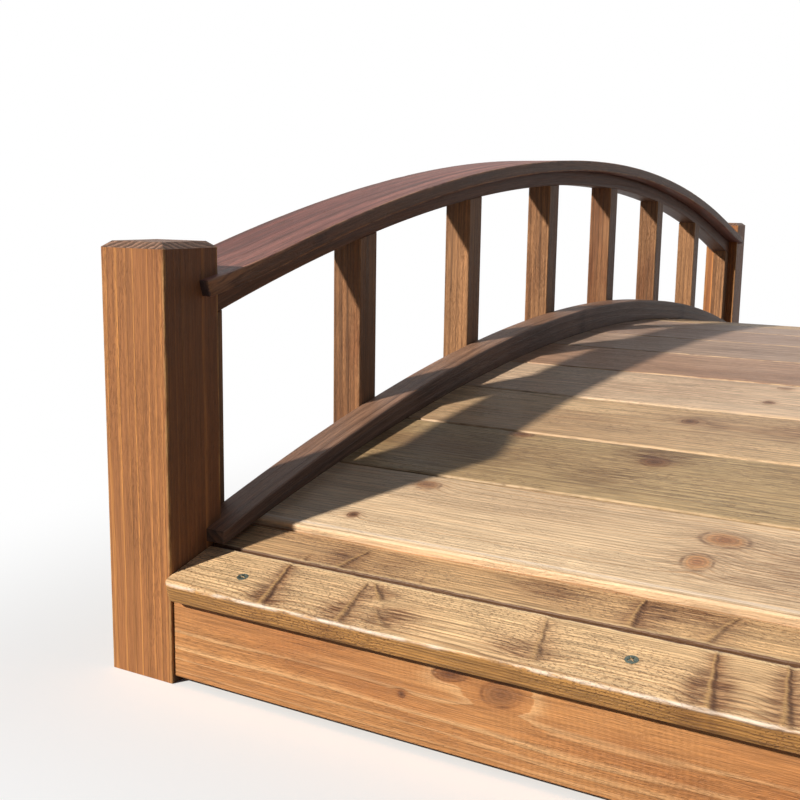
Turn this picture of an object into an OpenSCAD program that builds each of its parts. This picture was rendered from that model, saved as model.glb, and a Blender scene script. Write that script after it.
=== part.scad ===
// Moon bridge: a low arched timber garden bridge with a railing on each side.
// X runs along the span, +Y is the left railing, Z is up, and the post feet stand at Z = 0.

/* [Overall] */
// Length over the outer faces of the posts
length = 2560; // [2400:10:2760]
// Width over the outer faces of the posts
width = 1219; // [1000:1:1400]
// Height of the walking surface at the crown
deck_crown = 287; // [275:1:300]
// Radius of the walking surface
deck_radius = 5400; // [5200:10:5700]
// Height of the handrail at the crown
rail_crown = 616; // [590:1:650]
// Radius of the top of the handrail
rail_radius = 4200; // [4000:10:4500]

/* [Posts] */
// Side of the square posts
post = 88.9; // [80:0.1:100]
// Height of the posts
post_height = 486; // [478:1:520]
// Width of the chamfer round the top of each post
post_chamfer = 9; // [6:0.5:14]
// Height of the chamfer round the top of each post
chamfer_rise = 7; // [4:0.5:10]
// Rounding of the upright edges of each post
post_ease = 2; // [1:0.5:5]

/* [Deck] */
// Number of full boards
full_boards = 13; // [11:2:15]
// Thickness of the full boards
board_t = 27; // [24:0.5:32]
// Thickness of the two narrower boards at each end
end_board_t = 20; // [17:0.5:23]
// Room taken along the arc by the front board at each end
nosing_pitch = 91.4; // [80:0.1:100]
// Room taken along the arc by the second board at each end
second_pitch = 60; // [52:1:70]
// How far the front board stands out past the posts
nosing = 15; // [8:0.5:22]
// Gap between neighbouring boards
board_gap = 2.5; // [1:0.25:4]
// Rounding of the upper long edges of the boards
board_ease = 4.5; // [2:0.5:6]
// Rounding of the front edge of the front board
nosing_ease = 7; // [4:0.5:8]
// Rounding of the front corners of the front board, seen from above
nosing_corner = 13; // [8:0.5:18]

/* [Frame] */
// Thickness of the arched stringers under the deck
stringer_t = 38.1; // [32:0.1:50]
// Depth of the arched stringers
stringer_depth = 92; // [80:1:94]
// Thickness of the end fascia boards
fascia_t = 30; // [22:0.5:38]
// How far the fascia boards sit behind the faces of the posts
fascia_setback = 4; // [2:0.5:10]
// Clearance between the fascia boards and the ground
fascia_clear = 8; // [4:0.5:12]

/* [Kerbs] */
// Height of the kerb over the deck at the crown
kerb_rise = 45; // [40:1:55]
// Radius of the top of the kerb
kerb_radius = 4480; // [4400:10:4700]
// How far the kerb stands in from the inner faces of the posts
kerb_in = 25.4; // [20:0.1:32]
// How far the kerb and the handrail run along the sides of the posts
lap = 27; // [15:1:40]
// Rounding of the ends of the kerb, seen from above
end_round = 3; // [2:0.5:8]
// Rounding of the upper long edges of the kerb
kerb_ease = 4; // [2:0.5:6]

/* [Railing] */
// Side of the square balusters
baluster = 44; // [36:0.5:52]
// Side of the slimmer square balusters against the posts
end_baluster = 35; // [28:0.5:44]
// Rounding of the upright edges of the balusters
bal_ease = 2; // [1:0.25:3]
// Number of balusters on each side, the end ones against the posts
balusters = 8; // [6:1:10]
// Thickness of the rail on top of the balusters
subrail_t = 27; // [20:0.5:32]
// Thickness of the handrail
cap_t = 19; // [16:0.5:25]
// How far the handrail stands out past the sides of the posts
cap_out = 12.7; // [9:0.1:16]
// Rounding of the long edges of the handrail
cap_ease = 4; // [2:0.5:6]

/* [Hidden] */

// Facets of the large arcs and of the small roundings
ARC = 480;
SMALL = 16;
BIG = 4000;

// Lengthways: outer and inner faces of the posts, and the ends of kerb and handrail
end_x = length / 2;
post_x = end_x - post;
lap_x = post_x + lap;
// Crossways: inner faces of the posts, and the inner and outer faces of the balusters
inner_y = width / 2 - post;
bal_y = inner_y + (post - baluster) / 2;
bal_out_y = bal_y + baluster;

// Arc centres and radii, in the X-Z plane
deck_cz = deck_crown - deck_radius;
seat_r = deck_radius - board_t;
kerb_cz = deck_crown + kerb_rise - kerb_radius;
rail_cz = rail_crown - rail_radius;
cap_under_r = rail_radius - cap_t;
bal_top_r = cap_under_r - subrail_t;

// Deck boards set out along the arc, from the front edge of the front board inwards
nosing_w = nosing_pitch - board_gap;
nosing_in = [seat_r + end_board_t - nosing_ease, nosing_w / 2 - nosing_ease];
nosing_turn = asin((end_x + nosing - nosing_ease) / norm(nosing_in)) - atan2(nosing_in[1], nosing_in[0]);
nosing_at = deck_radius * nosing_turn * PI / 180;
second_at = nosing_at - nosing_pitch / 2 - second_pitch / 2;
full_pitch = 2 * (second_at - second_pitch / 2) / full_boards;
full_w = full_pitch - board_gap;
// The kerb rests on the upper edges of the full boards
kerb_seat_r = norm([deck_radius, full_w / 2 - board_ease]);

// Balusters set out between the posts
bal_pitch = (2 * post_x - baluster) / (balusters - 1);

POST_C = [0.60, 0.37, 0.22];
RAIL_C = [0.47, 0.29, 0.20];
DECK_C = [0.80, 0.63, 0.42];
FASCIA_C = [0.78, 0.50, 0.30];

// Height of the deck arc at a given X
function deck_z(x, r) = deck_cz + sqrt(r * r - x * x);

// A disc of radius r about (0, cz) in the X-Z plane, through the whole width
module disc(r, cz) {
    translate([0, BIG / 2, cz])
        rotate([90, 0, 0])
            cylinder(r = r, h = BIG, $fn = ARC);
}

// A hoop about (0, cz) in the X-Z plane, from radius r0 to r1 and from y0 to y1, with rounded edges
module hoop(r0, r1, cz, y0, y1, ease) {
    translate([0, 0, cz])
        rotate([-90, 0, 0])
            rotate_extrude($fn = ARC)
                rounded(r0, r1, y0, y1, ease);
}

// A rectangle from (x0, y0) to (x1, y1) with rounded corners
module rounded(x0, x1, y0, y1, ease) {
    union() {
        translate([x0 + ease, y0])
            square([x1 - x0 - 2 * ease, y1 - y0]);
        translate([x0, y0 + ease])
            square([x1 - x0, y1 - y0 - 2 * ease]);
        for (x = [x0 + ease, x1 - ease], y = [y0 + ease, y1 - ease])
            translate([x, y])
                circle(ease, $fn = SMALL);
    }
}

// A block given by its lower and upper corners
module block(lo, hi) {
    translate(lo)
        cube(hi - lo);
}

// Copy to the other side of the bridge
module right_side() {
    mirror([0, 1, 0])
        children();
}

// Copy to the other end of the bridge
module far_end() {
    mirror([1, 0, 0])
        children();
}

// The left near post, with eased edges and a chamfered top
module corner_post() {
    translate([-end_x + post / 2, inner_y + post / 2, 0])
        intersection() {
            linear_extrude(post_height)
                rounded(-post / 2, post / 2, -post / 2, post / 2, post_ease);
            union() {
                translate([-post, -post, 0])
                    cube([2 * post, 2 * post, post_height - chamfer_rise]);
                translate([0, 0, post_height - chamfer_rise])
                    rotate(45)
                        cylinder(d1 = post * sqrt(2), d2 = (post - 2 * post_chamfer) * sqrt(2),
                            h = chamfer_rise, $fn = 4);
            }
        }
}

// The posts, as the feet and corners of the bridge
module post_at(right, far) {
    color(POST_C)
        mirror([0, right, 0])
            mirror([far, 0, 0])
                corner_post();
}

// Fascia board between the near posts, its top on the arc of the seats
module fascia() {
    color(FASCIA_C)
        intersection() {
            block([-end_x + fascia_setback, -inner_y, fascia_clear],
                [-end_x + fascia_setback + fascia_t, inner_y, deck_crown]);
            disc(seat_r, deck_cz);
        }
}

// Arched stringer with its middle plane at y, ending against both fascia boards
module stringer(y) {
    stop = end_x - fascia_setback - fascia_t;
    color(POST_C)
        difference() {
            intersection() {
                block([-stop, y - stringer_t / 2, -10], [stop, y + stringer_t / 2, deck_crown]);
                disc(seat_r, deck_cz);
            }
            disc(seat_r - stringer_depth, deck_cz);
        }
}

// Cross section of a board with its two upper corners rounded
module board_section(w, t, r_back, r_front) {
    union() {
        translate([-w / 2, 0])
            square([w, t - max(r_back, r_front)]);
        translate([-w / 2 + r_front, 0])
            square([w - r_front - r_back, t]);
        translate([-w / 2, 0])
            square([r_front + 1, t - r_front]);
        translate([w / 2 - r_back - 1, 0])
            square([r_back + 1, t - r_back]);
        translate([-w / 2 + r_front, t - r_front])
            circle(r_front, $fn = SMALL);
        translate([w / 2 - r_back, t - r_back])
            circle(r_back, $fn = SMALL);
    }
}

// A board lying on the seats, its middle at a distance along the walking arc
module board(at, w, t, half_len, r_back, r_front) {
    color(DECK_C)
        translate([0, 0, deck_cz])
            rotate([0, at / deck_radius * 180 / PI, 0])
                translate([0, half_len, seat_r])
                    rotate([90, 0, 0])
                        linear_extrude(2 * half_len)
                            board_section(w, t, r_back, r_front);
}

// Full board number n, counted from the near end
module full_board(n) {
    at = (n - (full_boards + 1) / 2) * full_pitch;
    board(at, full_w, board_t, bal_y, board_ease, board_ease);
}

// Second board at the near end, between the posts
module second_board() {
    board(-second_at, second_pitch - board_gap, end_board_t, inner_y, board_ease, board_ease);
}

// Front board at the near end, its front edge and front corners well rounded
module nosing_board() {
    front = end_x + nosing;
    color(DECK_C)
        intersection() {
            board(-nosing_at, nosing_w, end_board_t, inner_y, board_ease, nosing_ease);
            linear_extrude(deck_crown)
                rounded(-front, front, -inner_y, inner_y, nosing_corner);
        }
}

// Room for the two left posts, in a strip that laps them
module post_notches() {
    for (x = [-end_x, post_x])
        block([x, inner_y, -10], [x + post, inner_y + post, rail_crown]);
}

// Everything on the crown's side of a cut square to an arc about (0, cz), at an angle from upright
module square_end(turn, cz) {
    translate([0, 0, cz])
        rotate([0, -turn, 0])
            block([0, -BIG, 0], [2 * BIG, BIG, 2 * BIG]);
}

// Kerb on the left, lying on the boards and notched round the posts
module kerb() {
    in_y = inner_y - kerb_in;
    color(RAIL_C)
        difference() {
            intersection() {
                hoop(kerb_radius / 2, kerb_radius, kerb_cz, in_y, bal_y, kerb_ease);
                linear_extrude(rail_crown)
                    rounded(-lap_x, lap_x, in_y, inner_y + post, end_round);
            }
            disc(kerb_seat_r, deck_cz);
            post_notches();
        }
}

// Row of balusters on the left, lapped over the kerb and the ends of the boards
module baluster_row() {
    color(POST_C)
        intersection() {
            union()
                for (i = [0 : balusters - 1]) {
                    side = i == 0 || i == balusters - 1 ? end_baluster : baluster;
                    x = i == balusters - 1 ? post_x - side : -post_x + i * bal_pitch;
                    foot = deck_z(max(abs(x), abs(x + side)), seat_r);
                    translate([0, 0, foot])
                        linear_extrude(rail_crown - foot)
                            rounded(x, x + side, bal_y, bal_y + side, bal_ease);
                }
            disc(bal_top_r, rail_cz);
        }
}

// Rail on top of the balusters, between the posts
module subrail() {
    color(RAIL_C)
        difference() {
            intersection() {
                block([-post_x, bal_y, 0], [post_x, bal_out_y, rail_crown]);
                disc(cap_under_r, rail_cz);
            }
            disc(bal_top_r, rail_cz);
        }
}

// Handrail on top of the sub-rail: a rounded section bent to the arc, cut square and notched round the posts
module handrail() {
    in_y = inner_y - cap_out;
    out_y = inner_y + post + cap_out;
    turn = asin(lap_x / cap_under_r);
    color(RAIL_C)
        difference() {
            intersection() {
                hoop(cap_under_r, rail_radius, rail_cz, in_y, out_y, cap_ease);
                square_end(turn, rail_cz);
                far_end()
                    square_end(turn, rail_cz);
            }
            post_notches();
        }
}

post_at(0, 0);  // near_left_post
post_at(1, 0);  // near_right_post
post_at(0, 1);  // far_left_post
post_at(1, 1);  // far_right_post
fascia();  // near_fascia
far_end() fascia();  // far_fascia
stringer(inner_y - stringer_t / 2);  // left_stringer
stringer(0);  // middle_stringer
stringer(-inner_y + stringer_t / 2);  // right_stringer
nosing_board();  // near_nosing_board
second_board();  // near_second_board
far_end() second_board();  // far_second_board
far_end() nosing_board();  // far_nosing_board
full_board(1);  // deck_board_01
full_board(2);  // deck_board_02
full_board(3);  // deck_board_03
full_board(4);  // deck_board_04
full_board(5);  // deck_board_05
full_board(6);  // deck_board_06
full_board(7);  // deck_board_07
full_board(8);  // deck_board_08
full_board(9);  // deck_board_09
full_board(10);  // deck_board_10
full_board(11);  // deck_board_11
full_board(12);  // deck_board_12
full_board(13);  // deck_board_13
kerb();  // left_kerb
right_side() kerb();  // right_kerb
baluster_row();  // left_balusters
right_side() baluster_row();  // right_balusters
subrail();  // left_subrail
right_side() subrail();  // right_subrail
handrail();  // left_handrail
right_side() handrail();  // right_handrail
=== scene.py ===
"""Looks of the moon bridge: weathered planks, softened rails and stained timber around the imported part."""

import math

import bmesh
import bpy
import numpy as np
from mathutils import Matrix, Vector, noise


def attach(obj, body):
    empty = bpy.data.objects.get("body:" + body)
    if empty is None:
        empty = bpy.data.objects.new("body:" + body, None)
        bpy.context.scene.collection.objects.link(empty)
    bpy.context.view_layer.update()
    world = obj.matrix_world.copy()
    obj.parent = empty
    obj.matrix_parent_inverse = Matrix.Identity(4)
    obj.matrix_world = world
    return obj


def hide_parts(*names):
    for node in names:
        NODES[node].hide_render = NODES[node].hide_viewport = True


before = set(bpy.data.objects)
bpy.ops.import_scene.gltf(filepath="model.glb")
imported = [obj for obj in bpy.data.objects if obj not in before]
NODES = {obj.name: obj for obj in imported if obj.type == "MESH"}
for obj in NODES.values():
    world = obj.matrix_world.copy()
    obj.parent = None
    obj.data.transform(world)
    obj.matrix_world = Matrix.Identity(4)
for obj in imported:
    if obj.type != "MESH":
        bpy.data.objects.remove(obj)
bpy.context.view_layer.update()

# Sizes of the bridge, in metres
LENGTH, WIDTH = 2.560, 1.219
POST, POST_HEIGHT = 0.0889, 0.486
DECK_CROWN, DECK_RADIUS = 0.287, 5.400
RAIL_CROWN, RAIL_RADIUS = 0.616, 4.200
CAP_T, CAP_OUT, SUBRAIL_T = 0.019, 0.0127, 0.027
KERB_RISE, KERB_RADIUS, KERB_IN, KERB_EASE, LAP = 0.045, 4.480, 0.0254, 0.004, 0.027
BOARD_T, END_BOARD_T, BOARD_GAP = 0.027, 0.020, 0.0025
NOSING, NOSING_PITCH, SECOND_PITCH, FULL_BOARDS = 0.015, 0.0914, 0.060, 13
BOARD_EASE, NOSING_EASE, NOSING_CORNER = 0.0045, 0.007, 0.013
BALUSTER, BALUSTERS = 0.044, 8
STRINGER_T, STRINGER_DEPTH = 0.0381, 0.092
FASCIA_T, FASCIA_SETBACK = 0.030, 0.004

# Sizes that only the looks have: eased edges, the spacing of mesh points over the boards, the mean thickness
# and half thickness of the kerb, the middle of the fascia boards, and how much lower the front boards reach
CAP_EASE, FASCIA_EASE = 0.0022, 0.0015
PLANK_EASE, SECOND_EASE, FRONT_EASE = 0.003, 0.002, 0.0032
PLANK_STEP, END_STEP = 0.006, 0.0025
KERB_T, KERB_HALF = 0.043, 0.022
FASCIA_Z = 0.055
SINK = 0.0015
# The ends of the handrail rise over its arc from this distance on, by so much a metre squared
LIFT_FROM, LIFT = 1.06, 0.39
# Two balusters in a row are cut this far apart in the tree
TREE_STEP = 1.37

END_X = LENGTH / 2
POST_X = END_X - POST
INNER_Y = WIDTH / 2 - POST
BAL_Y = INNER_Y + (POST - BALUSTER) / 2
DECK_CZ = DECK_CROWN - DECK_RADIUS
SEAT_R = DECK_RADIUS - BOARD_T
KERB_CZ = DECK_CROWN + KERB_RISE - KERB_RADIUS
RAIL_CZ = RAIL_CROWN - RAIL_RADIUS
NOSING_W = NOSING_PITCH - BOARD_GAP
NOSING_IN = (SEAT_R + END_BOARD_T - NOSING_EASE, NOSING_W / 2 - NOSING_EASE)
NOSING_AT = DECK_RADIUS * (math.asin((END_X + NOSING - NOSING_EASE) / math.hypot(*NOSING_IN))
                           - math.atan2(NOSING_IN[1], NOSING_IN[0]))
SECOND_AT = NOSING_AT - NOSING_PITCH / 2 - SECOND_PITCH / 2
FULL_PITCH = 2 * (SECOND_AT - SECOND_PITCH / 2) / FULL_BOARDS
FULL_W = FULL_PITCH - BOARD_GAP
BAL_PITCH = (2 * POST_X - BALUSTER) / (BALUSTERS - 1)
LAP_X = POST_X + LAP
KERB_SEAT_R = math.hypot(DECK_RADIUS, FULL_W / 2 - BOARD_EASE)


def rgb(red, green, blue):
    """A colour as it shows on screen, 0 to 255, turned to the values that shaders use."""
    def linear(value):
        value /= 255
        return value / 12.92 if value <= 0.04045 else ((value + 0.055) / 1.055) ** 2.4
    return (linear(red), linear(green), linear(blue), 1.0)


class Graph:
    """Short names for adding and joining the nodes of one material."""

    def __init__(self, name):
        self.material = bpy.data.materials.new(name)
        self.material.use_nodes = True
        self.tree = self.material.node_tree
        self.tree.nodes.clear()

    def add(self, kind, inputs, **settings):
        node = self.tree.nodes.new("ShaderNode" + kind)
        for key, value in settings.items():
            setattr(node, key, value)
        for key, value in inputs.items():
            if isinstance(value, bpy.types.NodeSocket):
                self.tree.links.new(value, node.inputs[key])
            else:
                node.inputs[key].default_value = value
        return node

    def math(self, operation, a, b=0.0, c=0.0):
        return self.add("Math", {0: a, 1: b, 2: c}, operation=operation).outputs[0]

    def vector(self, operation, a, b=(0.0, 0.0, 0.0)):
        node = self.add("VectorMath", {0: a, 1: b}, operation=operation)
        return node.outputs["Value" if operation in ("LENGTH", "DOT_PRODUCT") else "Vector"]

    def split(self, vector):
        return self.add("SeparateXYZ", {0: vector}).outputs

    def join(self, x, y, z):
        return self.add("CombineXYZ", {0: x, 1: y, 2: z}).outputs[0]

    def noise(self, vector, stretch, detail=2.0, rough=0.5, out="Fac"):
        scaled = self.vector("MULTIPLY", vector, stretch)
        inputs = {"Vector": scaled, "Scale": 1.0, "Detail": detail, "Roughness": rough}
        return self.add("TexNoise", inputs).outputs[out]

    def step(self, value, low, high, start=0.0, end=1.0):
        inputs = {0: value, 1: low, 2: high, 3: start, 4: end}
        return self.add("MapRange", inputs, interpolation_type="SMOOTHSTEP").outputs[0]

    def mix(self, amount, a, b, blend="MIX"):
        node = self.add("Mix", {0: amount, 6: a, 7: b}, data_type="RGBA", blend_type=blend)
        return node.outputs[2]

    def shade(self, colour, factor):
        """The colour made darker or lighter by a factor that varies over the surface."""
        return self.mix(1.0, colour, self.join(factor, factor, factor), "MULTIPLY")

    def bell(self, value, width):
        """One where the value is nought, fading to nothing over the width."""
        scaled = self.math("DIVIDE", value, width)
        return self.math("EXPONENT", self.math("MULTIPLY", self.math("MULTIPLY", scaled, scaled), -1.0))

    def turned(self, where, at, over, turn):
        """Coordinates about a point on the face of a piece, turned by an angle in degrees."""
        moved = self.vector("SUBTRACT", where, (at, over, 0.0))
        inputs = {"Vector": moved, "Angle": math.radians(turn)}
        return self.add("VectorRotate", inputs, rotation_type="Z_AXIS").outputs[0]


def place_straight(g, axes, origin):
    """Along, across and depth of a straight piece, whose grain runs along the first of the axes."""
    where = g.split(g.vector("SUBTRACT", g.add("TexCoord", {}).outputs["Object"], origin))
    return g.join(*(where["XYZ".index(axis)] for axis in axes))


def place_arc(g, radius, centre_z, y):
    """Along, across and depth of an arched piece, with the grain along the arc."""
    where = g.vector("SUBTRACT", g.add("TexCoord", {}).outputs["Object"], (0.0, y, centre_z))
    x, across, z = g.split(where)[:3]
    along = g.math("MULTIPLY", g.math("ARCTAN2", x, z), radius)
    reach = g.vector("LENGTH", g.join(x, 0.0, z))
    return g.join(along, across, g.math("SUBTRACT", reach, radius))


def place_board(g, angle, thickness):
    """Along, across and depth of a deck board that is turned by an angle about the deck's centre."""
    where = g.vector("SUBTRACT", g.add("TexCoord", {}).outputs["Object"], (0.0, 0.0, DECK_CZ))
    turned = g.add("VectorRotate", {"Vector": where, "Angle": -angle}, rotation_type="Y_AXIS")
    x, y, z = g.split(turned.outputs[0])[:3]
    return g.join(y, x, g.math("SUBTRACT", z, SEAT_R + thickness / 2))


def place_row(g, y):
    """Along, across and depth of the balusters of a row, each cut from another part of the tree."""
    x, across, z = g.split(g.add("TexCoord", {}).outputs["Object"])[:3]
    steps = g.math("DIVIDE", g.math("ADD", x, POST_X - BALUSTER / 2), BAL_PITCH)
    number = g.math("ROUND", steps)
    local = g.math("MULTIPLY", g.math("SUBTRACT", steps, number), BAL_PITCH)
    along = g.math("ADD", z, g.math("MULTIPLY", number, TREE_STEP))
    return g.join(along, local, g.math("SUBTRACT", across, y)), number


class Timber:
    """How one piece of timber looks. Colours are written as they show; lengths are in metres."""

    def __init__(self, pale, dark, **changes):
        self.pale = rgb(*pale)
        self.dark = rgb(*dark)
        self.seed = 0.0
        self.rough = 0.55
        # Growth rings: spacing, share of each ring that is early wood, strength, place of the pith, waviness
        self.ring = 0.006
        self.early = 0.35
        self.ring_amount = 0.6
        self.pith = (0.02, -0.06)
        self.warp = 0.020
        # Fine grain and its scale, dark dashes, cross saw marks, long streaks and slow stains
        self.fibre = 0.22
        self.fine = 1.0
        self.dashes = 0.25
        self.dash = 0.009
        self.saw = 0.0
        self.streak = 0.10
        self.stain = (150, 112, 86)
        self.stain_amount = 0.35
        self.relief = 0.7
        # The rubbed edges are paler from wear, and also from a painted highlight along the upper edges
        # Rubbed edges of a piece of this half width and half thickness, and their share on the underside
        self.half = (0.05, 0.05)
        self.edge = (226, 192, 150)
        self.edge_amount = 0.0
        self.under = 1.0
        # Faces across the grain and side faces: their direction, colours and strength
        self.end_axis = None
        self.end_pale = (170, 126, 98)
        self.end_dark = (78, 52, 40)
        self.end_amount = 0.85
        # On the posts, kerbs, balusters and handrails the side tint is painted shade
        self.side = None
        self.side_axis = (1.0, 0.0, 0.0)
        self.side_amount = 0.6
        # Knots: along, across, half length, half width, turn, strength, and soundness from 0, dark, to 1
        self.knots = ()
        # Knots sawn lengthwise: along and across of both ends, strength
        self.spikes = ()
        # Soft dark patches: along, across, half length, half width, turn, strength
        self.patches = ()
        # Painted shade and highlight lines along an edge: across from and to, colour, strength
        self.lines = ()
        for key, value in changes.items():
            if not hasattr(self, key):
                raise AttributeError(key)
            setattr(self, key, value)


# Slimness of a knot sawn lengthwise, at its first end and at its last
SPIKE_TAPER = (1.6, 0.7)
# Distance between two cross saw marks
SAW_PITCH = 0.0062
# Colours that all the timber shares
DASH, PATCH = rgb(96, 60, 36), rgb(134, 96, 70)
# A spike's pale core is a painted highlight along its raised ridge, and its groove colour is painted shade
# beside it
SPIKE_SMUDGE, SPIKE_RIDGE_HIGHLIGHT, SPIKE_GROOVE_SHADE = rgb(140, 98, 68), rgb(216, 172, 114), rgb(74, 43, 26)
KNOT_HALO, KNOT_RIM = rgb(168, 122, 90), rgb(92, 54, 32)


def spike_frame(spike):
    """Middle, half length and turn in degrees of a knot sawn lengthwise."""
    at0, over0, at1, over1, _ = spike
    half = math.hypot(at1 - at0, over1 - over0) / 2
    return (at0 + at1) / 2, (over0 + over1) / 2, half, -math.degrees(math.atan2(over1 - over0, at1 - at0))


class TimberGraph(Graph):
    """The material of one piece of timber: growth rings, and layers of colour painted over them."""

    def __init__(self, name, look, place):
        super().__init__(name)
        self.look = look
        where = place(self)
        self.where, self.number = where if isinstance(where, tuple) else (where, None)
        self.along, self.across, self.depth = self.split(self.where)[:3]
        self.seeded = self.vector("ADD", self.where, (look.seed * 3.1, look.seed * 0.7, look.seed * 1.3))
        ragged = self.noise(self.seeded, (60.0, 90.0, 60.0), 2.0)
        self.uneven = self.math("MULTIPLY_ADD", ragged, 0.7, -0.35)
        self.knots = []
        self.spikes = []

    def paint(self, cover, amount, tint, blend="MIX"):
        """Lays a tint over the colour, where the cover is and as strong as the amount."""
        self.colour = self.mix(self.math("MULTIPLY", cover, amount), self.colour, tint, blend)

    def swell_round_knots(self, radius):
        """Radius of the growth rings, swollen round both kinds of knots, which are kept for painting."""
        for at, over, half_along, half_across, turn, amount, sound in self.look.knots:
            local = self.turned(self.where, at, over, turn)
            scaled = self.vector("MULTIPLY", local, (1 / half_along, 1 / half_across, 0.0))
            distance = self.math("MULTIPLY_ADD", self.uneven, 0.4, self.vector("LENGTH", scaled))
            swell = self.bell(distance, 1.8)
            radius = self.math("MULTIPLY_ADD", swell, min(half_along, half_across) * 0.9, radius)
            self.knots.append((distance, swell, amount, sound))
        for spike in self.look.spikes:
            at, over, half, turn = spike_frame(spike)
            x, y = self.split(self.turned(self.where, at, over, turn))[:2]
            y = self.math("MULTIPLY_ADD", self.uneven, 0.006, y)
            y = self.math("MULTIPLY", y, self.step(x, -half, half, *SPIKE_TAPER))
            inside = self.step(self.math("ABSOLUTE", x), half - 0.006, half + 0.008, 1.0, 0.0)
            swell = self.math("MULTIPLY", inside, self.bell(y, 0.020))
            radius = self.math("MULTIPLY_ADD", swell, 0.004, radius)
            self.spikes.append((inside, y, spike[4]))
        return radius

    def grow_rings(self):
        """Growth rings about the pith, bent by slow noise and round the knots."""
        look = self.look
        bend = self.noise(self.seeded, (1.3, 5.0, 5.0), 2.0, 0.5, "Color")
        bend = self.vector("SUBTRACT", bend, (0.5, 0.5, 0.5))
        bent = self.vector("ADD", self.where, self.vector("MULTIPLY", bend, (0.0, look.warp, look.warp)))
        from_pith = self.vector("SUBTRACT", bent, (0.0, *look.pith))
        radius = self.vector("LENGTH", self.vector("MULTIPLY", from_pith, (0.0, 1.0, 1.0)))
        radius = self.math("MULTIPLY_ADD", self.noise(self.seeded, (9.0, 40.0, 40.0), 2.0), 0.0022, radius)
        count = self.math("DIVIDE", self.swell_round_knots(radius), look.ring)
        count = self.math("MULTIPLY_ADD", self.noise(self.seeded, (0.6, 130.0, 130.0), 1.0), 0.7, count)
        self.part = self.math("FRACT", count)
        fading = self.step(self.part, 0.93, 1.0, 1.0, 0.0)
        self.late = self.math("MULTIPLY", self.step(self.part, look.early, 0.90), fading)
        tone = self.add("TexWhiteNoise", {"W": self.math("FLOOR", count)}, noise_dimensions="1D")
        band = self.math("MULTIPLY_ADD", tone.outputs["Value"], 0.75, 0.25)
        band = self.math("MULTIPLY", self.late, band)
        self.colour = self.mix(self.math("MULTIPLY", band, look.ring_amount), look.pale, look.dark)

    def paint_grain(self):
        """Fibres, long streaks, slow stains, dark dashes and saw marks, and the relief that they make."""
        look = self.look
        self.fibre = self.noise(self.seeded, (7.0, 330.0, 330.0), 4.0, 0.7)
        self.thread = self.noise(self.seeded, (24.0, 1000.0 * look.fine, 1000.0 * look.fine), 2.0, 0.6)
        grain = self.math("MULTIPLY_ADD", self.thread, 0.5, self.math("MULTIPLY", self.fibre, 0.5))
        contrast = self.step(grain, 0.36, 0.64, 1 - 1.5 * look.fibre, 1 + 1.2 * look.fibre)
        self.colour = self.shade(self.colour, contrast)
        streak = self.noise(self.seeded, (1.2, 70.0, 70.0), 3.0, 0.6)
        self.colour = self.shade(self.colour, self.step(streak, 0.3, 0.7, 1 - look.streak, 1 + look.streak))
        self.slow = self.noise(self.seeded, (2.0, 8.0, 8.0), 4.0, 0.55)
        self.paint(self.step(self.slow, 0.45, 0.72), look.stain_amount, rgb(*look.stain), "MULTIPLY")
        close = 900.0 * look.fine + 150.0
        dashes = self.step(self.noise(self.seeded, (1 / look.dash, close, close), 1.0), 0.54, 0.62)
        gather = self.step(self.noise(self.seeded, (5.0, 20.0, 20.0), 2.0), 0.38, 0.56, 0.2, 1.0)
        dashes = self.math("MULTIPLY", dashes, gather)
        self.paint(dashes, look.dashes, DASH)
        self.height = self.math("MULTIPLY_ADD", grain, 1.3, self.math("MULTIPLY", self.late, 0.45))
        self.height = self.math("MULTIPLY_ADD", dashes, -0.6, self.height)
        if look.saw:
            phase = self.math("MULTIPLY", self.along, 2 * math.pi / SAW_PITCH)
            phase = self.math("MULTIPLY_ADD", self.slow, 40.0, phase)
            marked = self.step(self.noise(self.seeded, (5.0, 6.0, 6.0), 1.0), 0.40, 0.58)
            teeth = self.math("MULTIPLY", self.math("SINE", phase), marked)
            self.colour = self.shade(self.colour, self.math("MULTIPLY_ADD", teeth, look.saw, 1.0))
            self.height = self.math("MULTIPLY_ADD", teeth, 3.0 * look.saw, self.height)

    def paint_patches(self):
        """Soft dark patches with ragged borders."""
        for at, over, half_along, half_across, turn, amount in self.look.patches:
            local = self.turned(self.where, at, over, turn)
            scaled = self.vector("MULTIPLY", local, (1 / half_along, 1 / half_across, 0.0))
            spread = self.math("ADD", self.math("MULTIPLY_ADD", self.slow, 2.2, -1.1), self.uneven)
            cover = self.bell(self.math("ADD", self.vector("LENGTH", scaled), spread), 1.0)
            cover = self.math("MULTIPLY", cover, self.step(self.thread, 0.36, 0.60, 1.15, 0.5))
            self.paint(cover, amount, PATCH, "MULTIPLY")

    def paint_spikes(self):
        """Knots sawn lengthwise: a dark smudge, a pale core of painted highlight, and a painted shade groove
        beside it.
        """
        for inside, y, amount in self.spikes:
            smudge = self.math("MULTIPLY", inside, self.bell(self.math("ADD", y, 0.004), 0.016))
            fibrous = self.step(self.math("ADD", self.thread, self.uneven), 0.25, 0.75, 1.0, 0.55)
            self.paint(self.math("MULTIPLY", smudge, fibrous), 0.85 * amount, SPIKE_SMUDGE, "MULTIPLY")
            # Painted highlight along the raised ridge of the spike
            self.paint(self.math("MULTIPLY", inside, self.bell(y, 0.0020)), 0.5 * amount, SPIKE_RIDGE_HIGHLIGHT)
            # Painted shade in the dip beside the ridge
            groove_shade = self.math("MULTIPLY", inside, self.bell(self.math("ADD", y, 0.0038), 0.0020))
            groove_shade = self.math("MULTIPLY", groove_shade, self.step(self.uneven, -0.1, 0.12, 0.55, 1.0))
            self.paint(groove_shade, 0.95 * amount, SPIKE_GROOVE_SHADE)

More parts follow.
